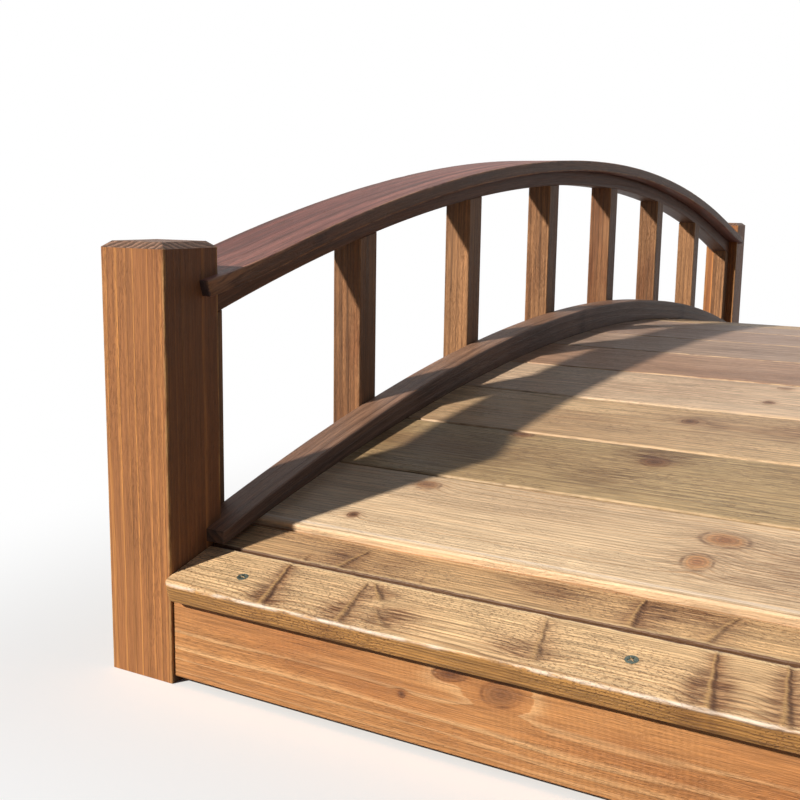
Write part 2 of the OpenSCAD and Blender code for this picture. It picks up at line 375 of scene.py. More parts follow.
    def paint_knots(self):
        """Round knots: a dark halo, a ringed heart and a broken dark rim."""
        for distance, swell, amount, sound in self.knots:
            self.paint(self.math("POWER", swell, 2.0), (0.9 - 0.5 * sound) * amount, KNOT_HALO, "MULTIPLY")
            rings = self.step(self.math("SINE", self.math("MULTIPLY", distance, 22.0)), -0.8, 0.9, 0.74, 1.1)
            middle = rgb(60 + 92 * sound, 36 + 52 * sound, 24 + 24 * sound)
            outer = rgb(112 + 92 * sound, 72 + 74 * sound, 46 + 48 * sound)
            heart = self.shade(self.mix(self.step(distance, 0.0, 0.9), middle, outer), rings)
            self.paint(self.step(distance, 0.65, 1.0, 1.0, 0.0), 0.85 * amount, heart)
            rim = self.step(distance, 1.02, 1.22, 1.0, 0.0)
            rim = self.math("MULTIPLY", self.step(distance, 0.82, 0.98), rim)
            rim = self.math("MULTIPLY", rim, self.step(self.uneven, -0.12, 0.12, 0.2, 1.0))
            self.paint(rim, 0.9 * amount, KNOT_RIM)

    def paint_faces(self):
        """Side faces in another tint, painted shade on the posts and railing, and end grain on faces across
        the grain.
        """
        look = self.look
        normal = self.add("TexCoord", {}).outputs["Normal"]
        if look.side:
            facing = self.math("ABSOLUTE", self.vector("DOT_PRODUCT", normal, look.side_axis))
            # Painted shade: this tint darkens the side faces of the posts, kerbs, balusters and handrails
            self.paint(self.step(facing, 0.55, 0.9), look.side_amount, rgb(*look.side), "MULTIPLY")
        if look.end_axis:
            facing = self.math("ABSOLUTE", self.vector("DOT_PRODUCT", normal, look.end_axis))
            sawn = self.step(self.noise(self.seeded, (300.0, 300.0, 300.0), 3.0, 0.6), 0.35, 0.65, 0.7, 1.2)
            cut = self.mix(self.step(self.part, 0.15, 0.75), rgb(*look.end_pale), rgb(*look.end_dark))
            self.paint(self.step(facing, 0.4, 0.65), look.end_amount, self.shade(cut, sawn))

    def paint_edges(self):
        """Edges paler from wear and a painted highlight, and painted shade and highlight lines along an edge.
        """
        look = self.look
        if look.edge_amount:
            half_width, half_depth = look.half
            near_side = self.step(self.math("ABSOLUTE", self.across), half_width - 0.005, half_width - 0.001)
            level = self.math("MAXIMUM", self.depth, self.math("MULTIPLY", self.depth, -look.under))
            near_face = self.step(level, half_depth - 0.004, half_depth - 0.0005)
            rub_and_glint = self.step(self.noise(self.seeded, (30.0, 160.0, 160.0), 3.0, 0.6), 0.35, 0.6)
            worn_and_highlit = self.math("MULTIPLY", self.math("MULTIPLY", near_side, near_face), rub_and_glint)
            # Paler edges: real wear, and a painted highlight along the rounded upper edges
            self.paint(worn_and_highlit, look.edge_amount, rgb(*look.edge))
        soft = 0.0007
        # Lines along an edge: painted shadow in the gaps between boards, and painted highlights on their lips
        # and front edges
        for low, high, tint, amount in look.lines:
            over = self.math("MULTIPLY_ADD", self.uneven, 0.003, self.across)
            below = self.step(over, high - soft, high + soft, 1.0, 0.0)
            inside = self.math("MULTIPLY", self.step(over, low - soft, low + soft), below)
            self.paint(inside, amount, rgb(*tint))

    def finish(self):
        """Joins the colour and the relief in one shader."""
        look = self.look
        roughness = self.math("MULTIPLY_ADD", self.fibre, 0.18, look.rough - 0.09)
        bump = self.add("Bump", {"Strength": look.relief, "Distance": 0.0010, "Height": self.height})
        inputs = {"Base Color": self.colour, "Roughness": roughness, "Normal": bump.outputs[0]}
        shader = self.add("BsdfPrincipled", inputs)
        shader.inputs["Specular IOR Level"].default_value = 0.3
        self.add("OutputMaterial", {0: shader.outputs[0]})
        return self.material


def timber_material(name, look, place, hue=None):
    """A stained timber material. place makes the piece's own coordinates from a graph, and hue is the
    share by which the pieces of a row differ in tone."""
    g = TimberGraph(name, look, place)
    g.grow_rings()
    g.paint_grain()
    g.paint_patches()
    g.paint_spikes()
    g.paint_knots()
    g.paint_faces()
    g.paint_edges()
    if hue:
        tone = g.add("TexWhiteNoise", {"W": g.number}, noise_dimensions="1D").outputs["Value"]
        g.colour = g.shade(g.colour, g.math("MULTIPLY_ADD", tone, 2 * hue, 1 - hue))
    return g.finish()


def dress(node, material):
    """Puts a material on a part of the frame."""
    part = NODES[node]
    part.data.materials.clear()
    part.data.materials.append(material)


def soften(node, width):
    """Rounds the sharp edges of a part of the frame."""
    part = NODES[node]
    weld = part.modifiers.new("weld", "WELD")
    weld.merge_threshold = 0.00002
    bevel = part.modifiers.new("ease", "BEVEL")
    bevel.width = width
    bevel.segments = 3
    bevel.limit_method = "ANGLE"
    bevel.angle_limit = math.radians(35)
    bevel.harden_normals = True


def board_section(width, thickness, ease_near, ease_far, top_step, low=0.001):
    """Outline of a board, seen along its length: points across and up, from the lower near corner."""
    half = width / 2
    points = [(-half + low, 0.0), (-half + 0.3 * low, 0.3 * low)]
    points += [(-half, v) for v in np.linspace(low, thickness - ease_near, 5)[:-1]]
    for turn in np.linspace(math.pi, math.pi / 2, 8):
        rise = thickness - ease_near * (1 - math.sin(turn))
        points.append((-half + ease_near * (1 + math.cos(turn)), rise))
    inside = width - ease_near - ease_far
    steps = max(4, round(inside / top_step))
    points += [(-half + ease_near + inside * i / steps, thickness) for i in range(1, steps)]
    for turn in np.linspace(math.pi / 2, 0.0, 8):
        points.append((half - ease_far * (1 - math.cos(turn)), thickness - ease_far * (1 - math.sin(turn))))
    points += [(half, v) for v in np.linspace(thickness - ease_far, low, 5)[1:]]
    points += [(half - 0.3 * low, 0.3 * low), (half - low, 0.0)]
    points += [(half - low - (width - 2 * low) * i / 8, 0.0) for i in range(1, 8)]
    return np.array(points)


def grid_mesh(name, vertices, rows, columns):
    """A closed mesh from rows of points, each row a ring, with a face over both ends."""
    faces = []
    for i in range(rows - 1):
        for j in range(columns):
            k = (j + 1) % columns
            faces.append((i * columns + j, i * columns + k, (i + 1) * columns + k, (i + 1) * columns + j))
    faces.append(tuple(range(columns))[::-1])
    faces.append(tuple((rows - 1) * columns + j for j in range(columns)))
    mesh = bpy.data.meshes.new(name)
    mesh.from_pydata([tuple(vertex) for vertex in vertices], [], faces)
    work = bmesh.new()
    work.from_mesh(mesh)
    bmesh.ops.recalc_face_normals(work, faces=work.faces)
    work.to_mesh(mesh)
    work.free()
    return mesh


def smooth(mesh, angle):
    """Smooth shading, but for edges sharper than an angle in degrees."""
    mesh.polygons.foreach_set("use_smooth", [True] * len(mesh.polygons))
    mesh.set_sharp_from_angle(angle=math.radians(angle))


def wave(values, scale, seed):
    """Smooth noise, from about -1 to 1, at each of the values."""
    return np.array([noise.noise(Vector((value * scale, seed * 7.3, seed * 1.9))) for value in values])


def wear(places, seed, depths, scales, bare):
    """How far an edge wanders inwards, and how much its corner is rubbed, at each place along it."""
    wander = depths[0] * (1 + wave(places, scales[0], seed)) + depths[1] * (1 + wave(places, scales[1], seed))
    rub = wave(places, scales[2], seed + 2) + 0.5 * wave(places, scales[3], seed + 3) - bare
    return wander[:, None], np.clip(rub, 0, 1)[:, None]


def plank(node, at, look, thickness, width, half_len, eases, step, corner=0.0, screws=(), sink=0.0):
    """A weathered deck board in place of a plain one: uneven eased edges, a slight cup and raised knots.

    at is its place along the deck's arc, and sink is how far its underside lies below its seat.
    """
    section = board_section(width, thickness, *eases, step)
    ends = np.array([0.0, 0.0004, 0.0011, 0.0024])
    shrink = np.array([0.0018, 0.0008, 0.0002, 0.0])
    inner = np.linspace(-half_len + 0.006, half_len - 0.006, round(2 * half_len / step))
    along = np.concatenate([-half_len + ends, inner, half_len - ends[::-1]])
    cut = np.concatenate([shrink, np.zeros(len(inner)), shrink[::-1]])
    u = np.repeat(section[None, :, 0], len(along), 0)
    v = np.repeat(section[None, :, 1], len(along), 0)
    s = np.repeat(along[:, None], len(section), 1)
    # Rounded ends of the edges
    u *= (1 - cut / (width / 2))[:, None]
    v = thickness / 2 + (v - thickness / 2) * (1 - cut / (thickness / 2))[:, None]
    # Both long edges wander inwards, and their upper corners are rubbed unevenly
    upper = np.clip((v - thickness * 0.45) / (thickness * 0.55), 0.0, 1.0)
    for side, shift in ((-1, 0.0), (1, 5.0)):
        weight = np.clip(side * u / (width / 2) * 6 - 5, 0.0, 1.0)
        wander, rub = wear(along, look.seed + shift, (0.0004, 0.0003), (4.0, 31.0, 17.0, 63.0), 0.15)
        u -= side * weight * wander
        v -= 0.0011 * rub * weight * upper
    # A slight cup and slow waves in the upper face
    face = np.clip((v - thickness * 0.8) / (thickness * 0.18), 0.0, 1.0)
    cup = 0.0005 * math.sin(look.seed * 12.9)
    v += face * cup * (1 - (2 * u / width) ** 2)
    v += face * (0.00022 * wave(along, 6.0, look.seed + 9))[:, None]
    # Knots of both kinds stand a little proud, and the wood dips round the screws
    for k_at, k_over, half_along, half_across, turn, amount, _ in look.knots:
        distance = np.hypot((s - k_at) / half_along, (u - k_over) / half_across)
        v += face * 0.0006 * amount * np.exp(-(distance / 1.3) ** 2)
    for spike in look.spikes:
        k_at, k_over, half, turn = spike_frame(spike)
        turn = math.radians(turn)
        x = (s - k_at) * math.cos(turn) - (u - k_over) * math.sin(turn)
        y = (s - k_at) * math.sin(turn) + (u - k_over) * math.cos(turn)
        y *= np.interp(x, (-half, half), SPIKE_TAPER)
        inside = np.clip((half + 0.006 - np.abs(x)) / 0.008, 0.0, 1.0)
        ridge = 0.0009 * np.exp(-(y / 0.0035) ** 2) - 0.0009 * np.exp(-((y + 0.007) / 0.005) ** 2)
        v += face * inside * spike[4] * ridge * (1 + 0.5 * wave(along, 90.0, k_at))[:, None]
    for k_at, k_over in screws:
        v -= face * 0.0008 * np.exp(-(np.hypot(s - k_at, u - k_over) / 0.010) ** 2)
    # Front corners rounded in plan
    if corner:
        front = np.clip((width / 2 - corner - np.sign(at) * u) / -corner, 0.0, 1.0)
        s *= 1 - corner * (1 - np.sqrt(1 - front ** 2)) / half_len
    turn = at / DECK_RADIUS
    x = u * math.cos(turn) + (SEAT_R - sink + v) * math.sin(turn)
    z = DECK_CZ - u * math.sin(turn) + (SEAT_R - sink + v) * math.cos(turn)
    mesh = grid_mesh(node + "_plank", np.stack([x, s, z], 2).reshape(-1, 3), *x.shape)
    smooth(mesh, 40)
    board = bpy.data.objects.new(node + "_plank", mesh)
    bpy.context.scene.collection.objects.link(board)
    mesh.materials.append(timber_material(node, look, lambda g: place_board(g, turn, thickness - 2 * sink)))
    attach(board, "root")
    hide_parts(node)


def notch(strip, side):
    """Cut room for the two posts of one side into a strip."""
    blocks = []
    for end in (-1, 1):
        work = bmesh.new()
        middle = (end * (END_X - POST / 2), side * (INNER_Y + POST / 2), POST_HEIGHT / 2)
        place = Matrix.Translation(middle) @ Matrix.Diagonal((POST, POST, 1.0, 1.0))
        bmesh.ops.create_cube(work, matrix=place)
        mesh = bpy.data.meshes.new("notch")
        work.to_mesh(mesh)
        work.free()
        blocks.append(bpy.data.objects.new("notch", mesh))
        bpy.context.scene.collection.objects.link(blocks[-1])
        cut = strip.modifiers.new("notch", "BOOLEAN")
        cut.operation = "DIFFERENCE"
        cut.solver = "EXACT"
        cut.object = blocks[-1]
    shaped = strip.evaluated_get(bpy.context.evaluated_depsgraph_get())
    result = bpy.data.meshes.new_from_object(shaped)
    strip.modifiers.clear()
    strip.data = result
    for block in blocks:
        bpy.data.objects.remove(block)


def stations(half):
    """Places from -half to half, close together at both ends for their eased edges."""
    ends = np.array([0.0, 0.0004, 0.0012])
    inner = np.linspace(-half, half, round(half / 0.003) + 1)[1:-1]
    return np.concatenate([-half + ends, inner, half - ends[::-1]])


def arched_strip(node, side, edges, thick, places, surface, eases, material, seed, notches=True):
    """A long arched strip between two edges, unevenly eased, and notched round the posts.

    surface gives a point in the X-Z plane for each place along the strip and each height from 0 to 1.
    """
    half, mid = (edges[1] - edges[0]) / 2, (edges[0] + edges[1]) / 2
    section = board_section(2 * half, thick, eases[0], eases[0], 0.008, eases[1])
    rows, columns = len(places), len(section)
    y = np.repeat(section[None, :, 0], rows, 0)
    v = np.repeat(section[None, :, 1] / thick, rows, 0)
    for edge, shift in ((-1, 0.0), (1, 5.0)):
        weight = np.clip(edge * y / half * 8 - 7, 0.0, 1.0)
        wander, rub = wear(places, seed + shift, (0.0003, 0.00025), (3.0, 23.0, 11.0, 47.0), 0.2)
        y = y - edge * weight * wander
        v = v - 0.0009 / thick * rub * weight * np.clip(2 * v - 1, 0.0, 1.0)
    cut = np.zeros(rows)
    cut[:3] = cut[-1:-4:-1] = (0.0020, 0.0008, 0.0002)
    y = y * (1 - cut / half)[:, None]
    v = 0.5 + (v - 0.5) * (1 - 2 * cut / thick)[:, None]
    x, z = surface(places[:, None], v)
    name = node + "_strip"
    mesh = grid_mesh(name, np.stack([x, mid + y, z], 2).reshape(-1, 3), rows, columns)
    strip = bpy.data.objects.new(name, mesh)
    bpy.context.scene.collection.objects.link(strip)
    if notches:
        notch(strip, side)
    smooth(strip.data, 40)
    strip.data.materials.clear()
    strip.data.materials.append(material)
    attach(strip, "root")
    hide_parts(node)


def rail_lift(x):
    """How far the ends of the handrail rise over its arc, where the strip straightens towards the posts."""
    return LIFT * np.maximum(0.0, np.abs(x) - LIFT_FROM) ** 2


def cap_surface(along, v):
    """A point in the handrail."""
    turn, reach = along / RAIL_RADIUS, RAIL_RADIUS - CAP_T + v * CAP_T
    return reach * np.sin(turn), RAIL_CZ + reach * np.cos(turn) + rail_lift(RAIL_RADIUS * np.sin(turn))


def subrail_surface(x, v):
    """A point between the tops of the balusters and the handrail."""
    low = RAIL_CZ + np.sqrt((RAIL_RADIUS - CAP_T - SUBRAIL_T) ** 2 - x ** 2)
    high = RAIL_CZ + np.sqrt((RAIL_RADIUS - CAP_T) ** 2 - x ** 2) + rail_lift(x)
    return x + 0 * v, low + v * (high - low)


def kerb_surface(x, v):
    """A point between the deck and the top of the kerb."""
    low = DECK_CZ + np.sqrt(KERB_SEAT_R ** 2 - x ** 2)
    high = KERB_CZ + np.sqrt(KERB_RADIUS ** 2 - x ** 2)
    return x + 0 * v, low + v * (high - low)


def screw_material():
    """Greenish grey coated steel, a little uneven."""
    g = Graph("screw_steel")
    spots = g.noise(g.add("TexCoord", {}).outputs["Object"], (900.0, 900.0, 900.0), 3.0)
    colour = g.mix(g.step(spots, 0.4, 0.65), rgb(112, 122, 112), rgb(78, 84, 76))
    shader = g.add("BsdfPrincipled", {"Base Color": colour, "Roughness": g.step(spots, 0.3, 0.7, 0.36, 0.55)})
    shader.inputs["Metallic"].default_value = 0.75
    g.add("OutputMaterial", {0: shader.outputs[0]})
    return g.material


def screw(name, at, along, over, thickness, material):
    """A countersunk screw head with a cross recess, set in the upper face of a board."""
    radius, rings, spokes = 0.0064, 24, 72
    arm_width, arm_length, recess = 0.0008, 0.0034, 0.0026
    work = bmesh.new()
    centre = work.verts.new((0.0, 0.0, -0.0021))
    grid = []
    for i in range(1, rings + 1):
        r = radius * i / rings
        row = []
        for j in range(spokes):
            turn = 2 * math.pi * j / spokes
            x, y = r * math.cos(turn), r * math.sin(turn)
            upright = max(abs(x) / arm_width, abs(y) / arm_length)
            lying = max(abs(y) / arm_width, abs(x) / arm_length)
            sunk = min(1.0, max(0.0, (1.25 - min(upright, lying)) / 0.35))
            crown = 0.0004 * (1 - (r / radius) ** 2) - 0.0003 * max(0.0, (r / radius - 0.9) / 0.1)
            row.append(work.verts.new((x, y, crown - recess * sunk * (1 - r / radius * 0.6))))
        grid.append(row)
    skirt = [work.verts.new((v.co.x * 0.97, v.co.y * 0.97, -0.0012)) for v in grid[-1]]
    grid.append(skirt)
    for j in range(spokes):
        work.faces.new((centre, grid[0][j], grid[0][(j + 1) % spokes]))
        for inner, outer in zip(grid, grid[1:]):
            work.faces.new((inner[j], outer[j], outer[(j + 1) % spokes], inner[(j + 1) % spokes]))
    work.faces.new(tuple(reversed(skirt)))
    bmesh.ops.recalc_face_normals(work, faces=work.faces)
    mesh = bpy.data.meshes.new(name)
    work.to_mesh(mesh)
    work.free()
    smooth(mesh, 35)
    mesh.materials.append(material)
    head = bpy.data.objects.new(name, mesh)
    turn = at / DECK_RADIUS
    lift = SEAT_R + thickness + 0.0004
    place = Matrix.Translation((over * math.cos(turn) + lift * math.sin(turn), along,
                                DECK_CZ - over * math.sin(turn) + lift * math.cos(turn)))
    head.matrix_world = place @ Matrix.Rotation(turn, 4, "Y") @ Matrix.Rotation(0.7 + along * 5, 4, "Z")
    bpy.context.scene.collection.objects.link(head)
    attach(head, "root")


# Posts, fascia boards and stringers
POSTS = (("near_left_post", -1, 1), ("near_right_post", -1, -1),
         ("far_left_post", 1, 1), ("far_right_post", 1, -1))
for index, (node, x, y) in enumerate(POSTS):
    centre = (x * (END_X - POST / 2), y * (INNER_Y + POST / 2), 0.0)
    # The posts' side faces are tinted darker and cooler, as painted shade
    look = Timber((163, 107, 64), (220, 150, 84), seed=index + 1.0, ring=0.0065, early=0.55,
                  pith=(0.055, 0.075), ring_amount=0.85, fibre=0.15, stain=(176, 138, 112), warp=0.008,
                  half=(POST / 2, POST / 2), edge=(236, 184, 118), edge_amount=0.5,
                  side=(190, 195, 218), side_axis=(0.0, 1.0, 0.0), side_amount=0.9,
                  end_axis=(0.0, 0.0, 1.0), end_pale=(152, 118, 98), end_dark=(54, 39, 32))
    dress(node, timber_material(node, look, lambda g, c=centre: place_straight(g, "ZXY", c)))
for index, (node, x) in enumerate((("near_fascia", -1), ("far_fascia", 1))):
    centre = (x * (END_X - FASCIA_SETBACK - FASCIA_T / 2), 0.0, FASCIA_Z)
    look = Timber((194, 135, 82), (236, 188, 134), seed=8.0 + index, ring=0.0085, early=0.55,
                  pith=(0.03, 0.06), ring_amount=0.8, saw=0.035, fibre=0.20, stain=(186, 130, 96),
                  stain_amount=0.5, end_axis=(0.0, 1.0, 0.0),
                  knots=((0.2303, 0.0016, 0.004, 0.0035, 0, 0.9, 0.2),
                         (0.1244, 0.0262, 0.020, 0.012, 10, 0.8, 0.45),
                         (0.1781, 0.0345, 0.018, 0.007, 8, 0.8, 0.2),
                         (-0.31, -0.01, 0.012, 0.010, 0, 0.8, 0.6)))
    dress(node, timber_material(node, look, lambda g, c=centre: place_straight(g, "YZX", c)))
    soften(node, FASCIA_EASE)
STRINGER_Y = INNER_Y - STRINGER_T / 2
STRINGERS = (("left_stringer", STRINGER_Y), ("middle_stringer", 0.0), ("right_stringer", -STRINGER_Y))
STRINGER_R = SEAT_R - STRINGER_DEPTH / 2
for index, (node, y) in enumerate(STRINGERS):
    look = Timber((168, 118, 76), (122, 82, 52), seed=12.0 + index, ring=0.008, pith=(0.05, -0.09), saw=0.04,
                  knots=((-0.52, 0.0, 0.02, 0.05, 0, 0.8, 0.6), (0.31, 0.0, 0.018, 0.05, 0, 0.8, 0.6)))
    dress(node, timber_material(node, look, lambda g, y=y: place_arc(g, STRINGER_R, DECK_CZ, y)))

# Kerbs, balusters and rails
CAP_HALF = RAIL_RADIUS * math.asin(LAP_X / (RAIL_RADIUS - CAP_T))
for index, (side, sign) in enumerate((("left", 1), ("right", -1))):
    node = f"{side}_kerb"
    # The kerbs' side faces are tinted darker and cooler, as painted shade; their end grain has its own darker
    # colour, darkened further as painted shade
    look = Timber((148, 112, 89), (88, 61, 47), seed=20.0 + index, ring=0.0085, pith=(0.06, -0.07),
                  ring_amount=0.7, stain=(150, 112, 92), stain_amount=0.6, fibre=0.26,
                  end_axis=(1.0, 0.0, 0.0), end_pale=(84, 62, 50), end_dark=(44, 33, 28),
                  side=(174, 178, 190), side_axis=(0.0, 1.0, 0.0), side_amount=1.0,
                  patches=((-0.118, -0.012, 0.022, 0.06, 0, 0.9), (0.567, -0.012, 0.030, 0.06, 0, 0.9),
                           (-0.7435, -0.012, 0.040, 0.06, 0, 0.7)))
    edges = sorted((sign * (INNER_Y - KERB_IN), sign * BAL_Y))
    middle = sum(edges) / 2
    reach = KERB_RADIUS - KERB_HALF
    material = timber_material(node, look, lambda g, y=middle, r=reach: place_arc(g, r, KERB_CZ, y))
    arched_strip(node, sign, edges, KERB_T, stations(LAP_X), kerb_surface, (KERB_EASE, 0.001),
                 material, 60.0 + index)
    node = f"{side}_balusters"
    # The balusters' side faces are tinted darker and cooler, as painted shade
    look = Timber((172, 123, 82), (78, 50, 31), seed=24.0 + index, ring=0.008, pith=(0.03, 0.06),
                  half=(BALUSTER / 2, BALUSTER / 2), edge_amount=0.3, edge=(206, 160, 116), stain_amount=0.85,
                  fibre=0.26, streak=0.2, side=(206, 219, 238), side_axis=(0.0, 1.0, 0.0), side_amount=1.0,
                  end_axis=(0.0, 0.0, 1.0))
    middle = sign * (BAL_Y + BALUSTER / 2)
    dress(node, timber_material(node, look, lambda g, y=middle: place_row(g, y), 0.02))
    node = f"{side}_subrail"
    # The sub-rails' colours are darkened as painted shade, for the shade they lie in under the handrails
    look = Timber((106, 74, 55), (67, 44, 32), seed=28.0 + index, ring=0.008, pith=(0.05, -0.05))
    edges = sorted((sign * BAL_Y, sign * (BAL_Y + BALUSTER)))
    reach = RAIL_RADIUS - CAP_T - SUBRAIL_T / 2
    material = timber_material(node, look, lambda g, y=middle, r=reach: place_arc(g, r, RAIL_CZ, y))
    arched_strip(node, sign, edges, SUBRAIL_T, stations(POST_X), subrail_surface, (0.001, 0.002),
                 material, 80.0 + index, notches=False)
    node = f"{side}_handrail"
    # The handrails' side faces are tinted darker and browner, as painted shade
    look = Timber((130, 84, 74), (77, 42, 38), seed=32.0 + index, ring=0.017, early=0.2, pith=(0.03, -0.025),
                  ring_amount=0.85, stain=(176, 128, 124), stain_amount=0.6, fibre=0.26, streak=0.34,
                  warp=0.04, fine=0.5,
                  half=(POST / 2 + CAP_OUT, CAP_T / 2), edge=(190, 140, 104), edge_amount=0.6,
                  end_axis=(1.0, 0.0, 0.0), end_pale=(70, 54, 46), end_dark=(36, 28, 26),
                  side=(220, 246, 214), side_axis=(0.0, 1.0, 0.0), side_amount=1.0,
                  patches=((-1.1885, -0.057, 0.012, 0.02, 0, 0.9), (-1.016, -0.057, 0.015, 0.02, 0, 0.9)))
    edges = sorted((sign * (INNER_Y - CAP_OUT), sign * (INNER_Y + POST + CAP_OUT)))
    reach = RAIL_RADIUS - CAP_T / 2
    material = timber_material(node, look, lambda g, y=middle, r=reach: place_arc(g, r, RAIL_CZ, y))
    arched_strip(node, sign, edges, CAP_T, stations(CAP_HALF), cap_surface, (CAP_EASE, CAP_EASE),
                 material, 70.0 + index)

# Deck boards, from the near end: those that the photograph shows, and colours in turn for the others
# Painted shadow in the gap between the two front boards, and a painted highlight on the lip beside it
SEAM_SHADOW, LIP_HIGHLIGHT = (92, 58, 38), (238, 208, 160)
LOOKS = {
    "near_nosing_board": Timber(
        (238, 199, 150), (160, 114, 72), dashes=0.42, dash=0.004, stain_amount=0.2, ring=0.0031,
        ring_amount=0.75, pith=(-0.05, -0.03), seed=40.0, side=(192, 156, 76), side_amount=0.8,
        # Near-white edge colour: a painted highlight along the rounded front edge, as well as wear
        edge=(255, 238, 220),
        spikes=((0.4056, 0.0378, 0.3908, -0.0400, 1.0), (0.3049, 0.0300, 0.2970, -0.0400, 0.8),
                (0.2944, 0.0318, 0.2768, 0.0085, 0.9), (0.2706, -0.0084, 0.2483, -0.0337, 0.4),
                (0.1054, 0.0341, 0.0916, -0.0290, 0.6), (-0.0559, 0.0381, -0.0683, -0.0420, 1.0),
                (-0.1168, 0.0430, -0.1300, -0.0400, 0.9), (-0.262, 0.040, -0.271, -0.040, 0.9),
                (-0.401, 0.040, -0.392, -0.036, 0.8)),
        patches=((0.403, -0.020, 0.014, 0.020, 0, 0.7), (0.312, -0.022, 0.016, 0.024, 0, 0.9),
                 (0.243, -0.012, 0.034, 0.026, 0, 0.8), (0.119, -0.020, 0.030, 0.020, 0, 0.7),
                 (-0.052, -0.018, 0.014, 0.026, 0, 0.9), (-0.078, -0.010, 0.012, 0.026, 0, 0.8),
                 (-0.122, 0.0, 0.022, 0.040, 0, 0.7)),
        lines=((0.0409, 0.0448, SEAM_SHADOW, 0.9), (0.0377, 0.0409, LIP_HIGHLIGHT, 0.5))),
    "near_second_board": Timber(
        (222, 180, 130), (152, 106, 66), dashes=0.42, dash=0.005, ring=0.0036, pith=(0.06, -0.03), seed=41.0,
        spikes=((0.3387, 0.0166, 0.3547, -0.0250, 0.7), (0.3973, -0.0120, 0.4015, -0.0250, 0.5),
                (0.0301, 0.0280, 0.0301, -0.0222, 1.0), (-0.0597, 0.0270, -0.0408, -0.0241, 0.6),
                (-0.169, 0.026, -0.160, -0.02, 0.9), (-0.352, 0.026, -0.36, -0.024, 0.8)),
        patches=((0.361, 0.0, 0.022, 0.030, 0, 0.9), (0.297, 0.005, 0.026, 0.020, 0, 0.6),
                 (0.121, 0.010, 0.050, 0.026, 0, 0.8), (0.010, 0.010, 0.020, 0.026, 0, 0.8),
                 (-0.022, 0.020, 0.040, 0.020, 0, 0.9), (-0.25, 0.0, 0.07, 0.04, 0, 0.6)),
        lines=((-0.0290, -0.0264, SEAM_SHADOW, 0.9), (-0.0264, -0.0240, LIP_HIGHLIGHT, 0.3))),
    "deck_board_01": Timber(
        (234, 203, 164), (200, 150, 102), ring=0.0052, pith=(0.13, -0.05), seed=42.0, saw=0.015,
        stain_amount=0.25, early=0.45, side=(255, 246, 238), dashes=0.12, fibre=0.15, ring_amount=0.7,
        knots=((-0.0135, 0.0373, 0.026, 0.017, 0, 0.8, 0.9), (0.0001, -0.0185, 0.016, 0.018, 0, 0.8, 1.0),
               (0.3942, -0.0436, 0.007, 0.007, 0, 1.0, 0.1), (0.3517, 0.0592, 0.018, 0.012, 0, 0.8, 0.5),
               (-0.31, 0.02, 0.02, 0.014, 0, 0.8, 0.8)),
        patches=((-0.12, 0.0, 0.14, 0.07, 0, 0.6),),
        # The pale line near the front edge of this board is a painted highlight
        lines=((-0.0800, -0.0755, (255, 236, 214), 0.5),)),
    "deck_board_02": Timber(
        (186, 157, 115), (136, 107, 73), ring=0.0056, pith=(-0.10, -0.06), seed=43.0, ring_amount=0.5,
        early=0.45, dashes=0.35, stain_amount=0.5,
        knots=((0.118, 0.040, 0.018, 0.014, 10, 0.9, 0.15), (0.3129, 0.078, 0.016, 0.010, 0, 0.9, 0.3),
               (-0.24, -0.02, 0.018, 0.014, 0, 0.8, 0.4)),
        patches=((0.125, 0.06, 0.05, 0.022, 0, 0.9), (0.165, -0.02, 0.05, 0.04, 20, 0.6),
                 (0.35, 0.0, 0.12, 0.05, 0, 0.5))),
    "deck_board_03": Timber(
        (210, 176, 135), (160, 122, 84), ring=0.0058, pith=(0.05, -0.08), seed=44.0, ring_amount=0.55,
        dashes=0.35, stain_amount=0.5,
        knots=((0.1229, 0.0286, 0.011, 0.010, 0, 0.9, 0.1),),
        patches=((0.10, 0.03, 0.05, 0.03, 0, 0.6), (-0.03, 0.03, 0.08, 0.04, 0, 0.8))),
    "deck_board_04": Timber(
        (223, 192, 159), (176, 134, 104), ring=0.0062, pith=(-0.06, -0.06), seed=45.0, ring_amount=0.55,
        dashes=0.3,
        knots=((0.0472, -0.0203, 0.008, 0.008, 0, 0.9, 0.2), (0.0418, 0.0675, 0.012, 0.008, 0, 0.6, 0.3))),
    "deck_board_05": Timber(
        (180, 142, 114), (132, 96, 76), pith=(0.09, -0.06), seed=46.0, dashes=0.35, stain_amount=0.5),
    "deck_board_06": Timber(
        (184, 156, 134), (140, 108, 90), pith=(0.0, -0.07), seed=47.0, dashes=0.3,
        patches=((0.1787, 0.0, 0.10, 0.02, 0, 0.6),)),
    "deck_board_07": Timber(
        (172, 143, 124), (128, 98, 82), pith=(-0.08, -0.06), seed=48.0, dashes=0.3),
}
OTHER_BOARDS = (
    ((206, 174, 134), (170, 132, 96)), ((186, 158, 120), (148, 116, 82)), ((214, 184, 150), (178, 138, 108)),
    ((178, 150, 130), (140, 108, 92)), ((200, 166, 126), (160, 120, 84)))
MIDDLE_BOARD = (FULL_BOARDS + 1) // 2
